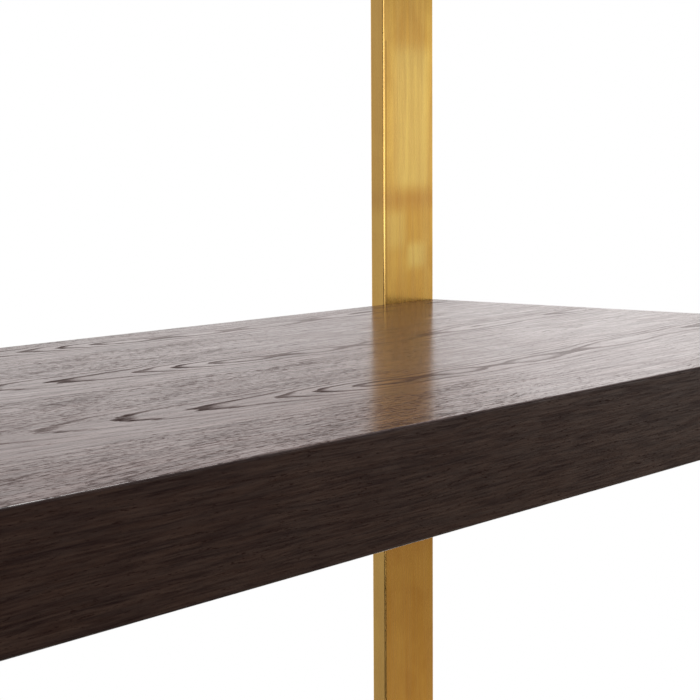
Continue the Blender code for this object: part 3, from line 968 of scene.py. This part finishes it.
# %% Pieces: boards
ARRIS = 1.0 * MM
ARRIS_STEPS = 5
HAIRLINE = 0.02 * MM
SAWN_EDGE = 0.2 * MM
BOARD_SIDES = ("left", "right", "front", "back")
LENGTH = 2 * SHELF_END
DEPTH = SHELF_BACK - SHELF_FRONT
THICKNESS = SHELF_TOP - SHELF_BOTTOM
MIDDLE_Y = (SHELF_BACK + SHELF_FRONT) / 2
MIDDLE_Z = (SHELF_TOP + SHELF_BOTTOM) / 2
QUARTER = math.radians(90)


def skinned(rings):
    """A closed shape from rings of points. Each ring is joined to the next, and the ends are capped."""
    shape = bmesh.new()
    loops = [[shape.verts.new(point) for point in ring] for ring in rings]
    shape.faces.new(loops[0])
    shape.faces.new(reversed(loops[-1]))
    for upper, lower in zip(loops, loops[1:]):
        for i, point in enumerate(upper):
            after = (i + 1) % len(upper)
            shape.faces.new((point, lower[i], lower[after], upper[after]))
    return shape


def board_levels(thickness):
    """(depth, inset on a mitred side, inset on a square side) from the outer face to the inner one."""
    levels = []
    for step in range(ARRIS_STEPS + 1):
        angle = QUARTER / 2 * step / ARRIS_STEPS
        depth, inset = ARRIS * (1 - math.cos(angle)), ARRIS * (1 - math.sin(angle))
        levels.append((depth, inset + HAIRLINE, inset * 0.5))
    levels.append((1.2 * ARRIS, 1.2 * ARRIS + HAIRLINE, 0.0))
    levels.append((thickness - SAWN_EDGE, thickness - SAWN_EDGE + HAIRLINE, 0.0))
    levels.append((thickness, thickness + HAIRLINE, SAWN_EDGE))
    return levels


def board(length, width, mitred):
    """A board with its outer face up at z = 0, centred."""
    rings = []
    for depth, mitre_inset, square_inset in board_levels(SKIN):
        inset = {side: mitre_inset if side in mitred else square_inset for side in BOARD_SIDES}
        left, right = inset["left"] - length / 2, length / 2 - inset["right"]
        front, back = inset["front"] - width / 2, width / 2 - inset["back"]
        corners = ((left, front), (right, front), (right, back), (left, back))
        rings.append([(x, y, -depth) for x, y in corners])
    return skinned(rings)


def moved(shape, centre, angle=0.0, axis="X"):
    """Turns a shape about one axis through the origin, then moves its origin to centre."""
    matrix = Matrix.Translation(Vector(centre)) @ Matrix.Rotation(angle, 4, axis)
    bmesh.ops.transform(shape, matrix=matrix, verts=shape.verts)
    return shape


top = moved(board(LENGTH, DEPTH, {"left", "right", "front"}), (0, MIDDLE_Y, SHELF_TOP))
finish_piece("oak_top", top, oak_face, "top_panel", "shelf")
fascia = moved(board(LENGTH, THICKNESS, set(BOARD_SIDES)), (0, SHELF_FRONT, MIDDLE_Z), QUARTER)
finish_piece("oak_front", fascia, oak_front, "front_fascia", "shelf")
for side, sign in (("left", -1), ("right", 1)):
    end = board(THICKNESS, DEPTH, {"left", "right", "front"})
    end = moved(end, (sign * SHELF_END, MIDDLE_Y, MIDDLE_Z), sign * QUARTER, "Y")
    finish_piece(f"oak_end_{side}", end, oak_end, f"end_board_{side}", "shelf")
print("boards", round(LENGTH, 3), round(DEPTH, 3), round(THICKNESS, 3))

# %% [markdown]
# ## Turned shapes and the underside
#
# Screws, inserts, plugs and pads are all turned about an axis. One function spins an outline of
# (radius, height) points. A closed outline makes a ring.
#
# The underside is a board with four round holes, one for each insert, each wider at its mouth for the
# insert's flange. They are cut with Booleans, because they cross the board's faces and nothing else
# touches them.

# %% Pieces: underside with its inserts and set screws
ROUND = 48
PAST = 1.0 * MM
FLANGE_ROOM = 0.1 * MM
FLANGE_SEAT = 1.1 * MM
INSERT_HOLE = 5.2 * MM
FINE_PITCH = 1.0 * MM


def turned(outline, closed=False, sides=ROUND):
    """An outline of (radius, height) points, spun about Z."""
    shape = bmesh.new()
    points = [shape.verts.new((radius, 0, height)) for radius, height in outline]
    pairs = list(zip(points, points[1:]))
    if closed:
        pairs.append((points[-1], points[0]))
    edges = [shape.edges.new(pair) for pair in pairs]
    about = {"cent": (0, 0, 0), "axis": (0, 0, 1), "angle": math.tau, "steps": sides}
    bmesh.ops.spin(shape, geom=points + edges, use_merge=True, **about)
    bmesh.ops.remove_doubles(shape, verts=shape.verts, dist=SAME_POINT)
    return shape


def socket(across_flats, low, high):
    """A six-sided prism along Z, from low to high, that cuts the hole for a hexagon key."""
    corner = across_flats / 2 / math.cos(math.pi / 6)
    return turned(((0, low), (corner, low), (corner, high), (0, high)), sides=6)


def threads(radius, crest, pitch, low, high):
    """Outline points of thread ridges from low to high, as rings: close enough on a part this small."""
    points = []
    height = low
    while height + pitch <= high + 1e-9:
        points += [(radius, height), (crest, height + pitch / 2)]
        height += pitch
    points.append((radius, height))
    return points


underside = moved(board(LENGTH, DEPTH, {"left", "right", "back"}), (0, MIDDLE_Y, SHELF_BOTTOM), 2 * QUARTER)
insert_boxes = {}
cutters = []
for side in SIDES:
    for end in ("rear", "front"):
        box = Box(f"insert_{side}_{end}")
        insert_boxes[f"{side}_{end}"] = box
        mouth = box.size.x / 2 + FLANGE_ROOM
        hole = (
            (0, -PAST),
            (mouth, -PAST),
            (mouth, FLANGE_SEAT),
            (INSERT_HOLE, FLANGE_SEAT),
            (INSERT_HOLE, SKIN + PAST),
            (0, SKIN + PAST),
        )
        cutters.append(moved(turned(hole), (box.middle.x, box.middle.y, SHELF_BOTTOM)))
finish_piece("oak_underside", carve(underside, cutters), oak_under, "bottom_panel", "shelf")

for label, box in insert_boxes.items():
    foot = (box.middle.x, box.middle.y, box.low.z)
    flange, height = box.size.x / 2, box.size.z
    bore = threads(3.45 * MM, 3.15 * MM, FINE_PITCH, 0.7 * MM, height - 0.4 * MM)
    outline = [
        (3.8 * MM, 0.05 * MM),
        (flange - 0.35 * MM, 0.05 * MM),
        (flange - 0.05 * MM, 0.35 * MM),
        (flange - 0.05 * MM, 1.0 * MM),
        *threads(4.6 * MM, 5.0 * MM, 1.25 * MM, 1.0 * MM, height - 0.5 * MM),
        (4.3 * MM, height),
        (3.6 * MM, height),
        *reversed(bore),
    ]
    ring = moved(turned(outline, closed=True), foot)
    finish_piece(f"insert_ring_{label}", ring, turned_brass, f"insert_{label}", "shelf")

    screw = Box(f"set_screw_{label}")
    low, high = screw.low.z - box.low.z, screw.high.z - box.low.z
    outline = [
        (0, low),
        (2.5 * MM, low),
        *threads(2.6 * MM, 3.0 * MM, FINE_PITCH, low + 0.4 * MM, high - 1.0 * MM),
        (2.1 * MM, high),
        (1.5 * MM, high - 0.25 * MM),
        (0, high - 0.25 * MM),
    ]
    grub = moved(carve(turned(outline), [socket(3.0 * MM, low - PAST, low + 2.8 * MM)]), foot)
    finish_piece(f"grub_{label}", grub, black_oxide, f"set_screw_{label}", "shelf")
print("inserts", len(insert_boxes))

# %% [markdown]
# ## The brass bars
#
# A flat bar is drawn through a die, which leaves flat faces and small round edges. The outline is
# a rectangle with quarter circles at its corners, stacked upwards with a slightly smaller copy at each
# end, where the saw cut was filed smooth.
#
# The back has two keyhole slots and two countersunk holes. They are cut with Booleans, at the heights
# of the wall screws and the arm bolts.

# %% Pieces: brass bars
BAR_ARRIS = 1.2 * MM
END_FILE = 0.5 * MM
KEYHOLE_ENTRY = 5.5 * MM
KEYHOLE_SLOT = 2.8 * MM
KEYHOLE_LIP = 2.5 * MM
KEYHOLE_DEEP = 6.8 * MM
KEYHOLE_DROP = 14 * MM
UNDERCUT = KEYHOLE_ENTRY + 0.15 * MM
SINK_RADIUS = 6.6 * MM
BOLT_HOLE = 3.3 * MM
TO_ROOM = (0, -1, 0)
TO_WALL = (0, 1, 0)


def arc(middle, radius, start, turned_by, steps):
    """Points on a circle about middle, from start through turned_by, both in degrees."""
    angles = [math.radians(start + turned_by * step / steps) for step in range(steps + 1)]
    return [(middle[0] + radius * math.cos(angle), middle[1] + radius * math.sin(angle)) for angle in angles]


def stacked(levels, width, depth, radius):
    """A closed bar along Z. Each level is a rounded rectangle at a height, drawn in by an inset."""
    rings = []
    for height, inset in levels:
        outline = []
        for quarter, (side_x, side_y) in enumerate(((1, 1), (-1, 1), (-1, -1), (1, -1))):
            corner = (side_x * (width / 2 - radius), side_y * (depth / 2 - radius))
            outline += arc(corner, radius - inset, 90 * quarter, 90, 4)
        rings.append([(x, y, height) for x, y in outline])
    return skinned(rings)


def slot_shape(radius, low, high, length):
    """A slot with round ends, from low to high along Y, standing from z = 0 to length."""
    shape = bmesh.new()
    outline = arc((0, high), radius, 0, 180, 18) + arc((0, low), radius, 180, 180, 18)
    face = shape.faces.new([shape.verts.new((x, y, 0)) for x, y in outline])
    pulled = bmesh.ops.extrude_face_region(shape, geom=[face])
    raised = [part for part in pulled["geom"] if isinstance(part, bmesh.types.BMVert)]
    bmesh.ops.translate(shape, vec=(0, 0, length), verts=raised)
    return shape


def brushing_map(piece):
    """A UV map whose U runs across the bar and V along it, or through it on the two ends."""
    layer = piece.data.uv_layers.new(name="brushing")
    for face in piece.data.polygons:
        facing = max(range(3), key=lambda axis: abs(face.normal[axis]))
        across, along = {0: (1, 2), 1: (0, 2), 2: (0, 1)}[facing]
        for loop in face.loop_indices:
            point = piece.data.vertices[piece.data.loops[loop].vertex_index].co
            layer.data[loop].uv = (point[across], point[along])


for side in SIDES:
    box = Box(f"upright_{side}")
    width, thickness, height = box.size
    levels = ((0, END_FILE), (END_FILE, 0), (height - END_FILE, 0), (height, END_FILE))
    bar = stacked(levels, width, thickness, BAR_ARRIS)
    bar = moved(bar, (box.middle.x, box.middle.y, box.low.z))
    cutters = []
    for end in ("upper", "lower"):
        screw_z = Box(f"wall_screw_{side}_{end}").middle.z
        entry = screw_z - KEYHOLE_DROP
        pin = ((0, 0), (KEYHOLE_ENTRY, 0), (KEYHOLE_ENTRY, KEYHOLE_DEEP + PAST), (0, KEYHOLE_DEEP + PAST))
        cutters.append(pointed(turned(pin), (box.middle.x, box.high.y + PAST, entry), TO_ROOM))
        # The slots are drawn along their own Y, which stands upright once their Z points to the room.
        lip = slot_shape(KEYHOLE_SLOT, entry, screw_z, KEYHOLE_LIP + 2 * PAST)
        cutters.append(moved(lip, (box.middle.x, box.high.y + PAST, 0), QUARTER))
        under = slot_shape(UNDERCUT, entry, screw_z, KEYHOLE_DEEP - KEYHOLE_LIP)
        cutters.append(moved(under, (box.middle.x, box.high.y - KEYHOLE_LIP, 0), QUARTER))
        bolt_z = Box(f"arm_bolt_{side}_{end}").middle.z
        sink = (
            (0, -PAST),
            (SINK_RADIUS, -PAST),
            (SINK_RADIUS, 0),
            (BOLT_HOLE, SINK_RADIUS - BOLT_HOLE),
            (BOLT_HOLE, thickness + PAST),
            (0, thickness + PAST),
        )
        cutters.append(pointed(turned(sink), (box.middle.x, box.high.y, bolt_z), TO_ROOM))
    bar = carve(bar, cutters)
    brushing_map(finish_piece(f"brass_bar_{side}", bar, brass, f"upright_{side}", "uprights"))
print("bars", [round(value, 3) for value in bar_box.size])

# %% [markdown]
# ## The steel arms
#
# Each arm is a length of square bar with its nose ground to a taper, so that the shelf finds it. The
# same stack of outlines makes it, laid along -Y.

# %% Pieces: arms
ARM_ARRIS = 1.3 * MM
ARM_NOSE = 3.0 * MM
NOSE_TAPER = 0.12

for side in SIDES:
    box = Box(f"support_arm_{side}")
    width, length, height = box.size
    levels = (
        (0, 0.4 * MM),
        (0.4 * MM, 0),
        (length - ARM_NOSE - 0.3 * MM, 0),
        (length - ARM_NOSE, 0.1 * MM),
        (length - 0.3 * MM, 1.15 * MM),
        (length, 1.25 * MM),
    )
    arm = stacked(levels, width, height, ARM_ARRIS)
    # The nose is drawn in a little more on every side than the corner rounding alone allows.
    for point in arm.verts:
        share = max(0.0, (point.co.z - (length - ARM_NOSE)) / ARM_NOSE)
        point.co.x *= 1 - NOSE_TAPER * share
        point.co.y *= 1 - NOSE_TAPER * share
    arm = pointed(arm, (box.middle.x, box.high.y, box.middle.z), TO_ROOM)
    finish_piece(f"steel_arm_{side}", arm, powder, f"support_arm_{side}", "uprights")
print("arms", round(arm_box.size.y, 3))

# %% [markdown]
# ## Bolts, wall screws, plugs and pads
#
# These are only seen from behind. The bolts are flush countersunk heads with a hexagon socket.

# %% Pieces: bolts
BOLT_SHANK = 3.0 * MM


def four_boxes(kind):
    """The label and the box of each of the four pieces of one kind."""
    labels = [f"{side}_{end}" for side in SIDES for end in ("upper", "lower")]
    return [(label, Box(f"{kind}_{label}")) for label in labels]


for label, box in four_boxes("arm_bolt"):
    head, length = box.size.x / 2, box.size.y
    neck = head - BOLT_SHANK
    outline = [
        (0, 0),
        (head - 0.35 * MM, 0),
        (head - 0.05 * MM, 0.25 * MM),
        (BOLT_SHANK, neck + 0.1 * MM),
        *threads(2.7 * MM, BOLT_SHANK, FINE_PITCH, neck + 0.8 * MM, length - 0.8 * MM),
        (2.2 * MM, length),
        (0, length),
    ]
    bolt = carve(turned(outline), [socket(4.0 * MM, -PAST, 2.8 * MM)])
    bolt = pointed(bolt, (box.middle.x, box.high.y, box.middle.z), TO_ROOM)
    finish_piece(f"bolt_{label}", bolt, black_oxide, f"arm_bolt_{label}", "uprights")
print("bolts ready")

# %% [markdown]
# A wall screw needs a real thread. Its surface is a tube whose radius changes with both height and
# angle: at each angle the ridge sits a little higher, so after one turn it has climbed one pitch. That is
# a grid of points and one formula, with no twisted profile to sweep.

# %% Pieces: wall screws
THREAD_PITCH = 1.8 * MM
THREAD_ROOT = 1.75 * MM
THREAD_CREST = 2.45 * MM
RIDGE_HALF = 0.22
AROUND = 28
ROWS_PER_TURN = 10
POINT_LENGTH = 6 * MM
FADE_LENGTH = 2 * MM
BLUNT = 0.04
HEAD_HEIGHT = 3.2 * MM
SHANK_START = 0.3 * MM


def threaded_shank(start, length):
    """A wood-screw shank from z = start down to a point at z = start - length."""
    rows = round(length / THREAD_PITCH * ROWS_PER_TURN)
    rings = []
    for row in range(rows + 1):
        travelled = length * row / rows
        taper = min(1.0, (length - travelled) / POINT_LENGTH)
        fade_in = min(1.0, travelled / FADE_LENGTH)
        ring = []
        for i in range(AROUND):
            climb = (travelled / THREAD_PITCH + i / AROUND) % 1.0
            ridge = max(0.0, 1 - abs(climb - 0.5) / RIDGE_HALF) * fade_in
            radius = (THREAD_ROOT + (THREAD_CREST - THREAD_ROOT) * ridge) * max(taper, BLUNT)
            angle = math.tau * i / AROUND
            ring.append((radius * math.cos(angle), radius * math.sin(angle), start - travelled))
        rings.append(ring)
    return skinned(rings)


def block(size, centre, angle=0.0):
    """A box of this size about centre, turned about Z."""
    shape = bmesh.new()
    bmesh.ops.create_cube(shape, size=1.0)
    bmesh.ops.scale(shape, vec=size, verts=shape.verts)
    return moved(shape, centre, angle, "Z")


for label, box in four_boxes("wall_screw"):
    head, length = box.size.x / 2, box.size.y
    outline = [(0, HEAD_HEIGHT)]
    for degrees in range(15, 91, 15):
        angle = math.radians(degrees)
        dome = 0.3 + 0.7 * math.cos(angle) ** 0.8
        outline.append((head * math.sin(angle) ** 0.7, HEAD_HEIGHT * dome))
    outline += [(head, 0.2 * MM), (head - 0.2 * MM, 0), (THREAD_ROOT * 1.3, 0)]
    outline += [(THREAD_ROOT * 1.2, -0.4 * MM), (0, -0.4 * MM)]
    cross = [block((4.5 * MM, 0.9 * MM, 4 * MM), (0, 0, HEAD_HEIGHT), angle) for angle in (0, QUARTER)]
    screw = carve(turned(outline), cross)
    shank = threaded_shank(-SHANK_START, length - HEAD_HEIGHT - SHANK_START)
    joined = bpy.data.meshes.new("shank")
    shank.to_mesh(joined)
    shank.free()
    screw.from_mesh(joined)
    bpy.data.meshes.remove(joined)
    screw = pointed(screw, (box.middle.x, box.low.y + HEAD_HEIGHT, box.middle.z), TO_ROOM)
    finish_piece(f"screw_{label}", screw, zinc, f"wall_screw_{label}", "uprights")
print("wall screws ready")

# %% [markdown]
# A plug is a nylon tube with saw teeth that grip the wall and a slit so that the screw can spread it.
# The collar stays outside the wall. A pad is a rubber disc with round edges and a shallow dish.

# %% Pieces: plugs and pads
PLUG_RADIUS = 4.0 * MM
PLUG_BORE = 2.75 * MM
PLUG_NECK = 8 * MM
TOOTH = 3.2 * MM
SLIT_START = 10 * MM
FOOT_ROUND = 0.3 * MM
FACE_ROUND = 0.7 * MM
DISH = 0.15 * MM

for label, box in four_boxes("wall_plug"):
    collar, length = box.size.x / 2, box.size.y
    outline = [(PLUG_BORE, 0), (collar - 0.25 * MM, 0), (collar, 0.25 * MM), (collar, 0.8 * MM)]
    outline += [(PLUG_RADIUS - 0.1 * MM, 0.9 * MM), (PLUG_RADIUS - 0.1 * MM, PLUG_NECK - 0.6 * MM)]
    travelled = PLUG_NECK
    while travelled + TOOTH < length - 5 * MM:
        outline += [(PLUG_RADIUS - 0.75 * MM, travelled), (PLUG_RADIUS, travelled + TOOTH - 0.5 * MM)]
        travelled += TOOTH
        outline.append((PLUG_RADIUS, travelled - 0.15 * MM))
    outline += [(PLUG_RADIUS - 0.4 * MM, length - 4 * MM), (3.2 * MM, length), (PLUG_BORE, length)]
    slit_length = length - SLIT_START
    slit = block((1.2 * MM, 14 * MM, slit_length), (0, 0, SLIT_START + slit_length / 2 + PAST))
    plug = carve(turned(outline, closed=True), [slit])
    plug = pointed(plug, (box.middle.x, box.low.y, box.middle.z), TO_WALL)
    finish_piece(f"plug_{label}", plug, nylon, f"wall_plug_{label}", "uprights")

    box = Box(f"wall_pad_{label}")
    radius, thick = box.size.x / 2, box.size.y
    outline = [
        (0, 0),
        *arc((radius - FOOT_ROUND, FOOT_ROUND), FOOT_ROUND, -90, 90, 6),
        *arc((radius - FACE_ROUND, thick - FACE_ROUND), FACE_ROUND, 0, 90, 6),
        (radius * 0.55, thick),
        (radius * 0.5, thick - DISH),
        (0, thick - DISH),
    ]
    pad = pointed(turned(outline), (box.middle.x, box.high.y, box.middle.z), TO_ROOM)
    finish_piece(f"pad_{label}", pad, rubber, f"wall_pad_{label}", "uprights")
print("plugs and pads ready")

# %% [markdown]
# ## The core
#
# The rails, ribs and guides keep the shapes of the model, because a plain sawn strip is what they are.
# They get a fine bevel, since a saw cut is never razor sharp, and their own wood.

# %% Pieces: core strips
CORE = ("front_rail", "core_rib_1", "core_rib_2", "core_rib_3")
GUIDES = tuple(f"arm_guide_{side}_{flank}" for side in SIDES for flank in ("inner", "outer"))
STRIP_EDGE = 0.3 * MM


def dress(node, material):
    """Gives a model's node its material and fine bevelled edges."""
    strip_of_wood = NODES[node]
    strip_of_wood.data.materials.clear()
    strip_of_wood.data.materials.append(material)
    bevel = strip_of_wood.modifiers.new("sawn_edges", "BEVEL")
    bevel.width = STRIP_EDGE
    bevel.segments = 2
    bevel.limit_method = "ANGLE"


for node in (*CORE, *GUIDES):
    dress(node, ply)
dress("rear_rail", oak_front)
print("core strips", len(CORE) + len(GUIDES) + 1)
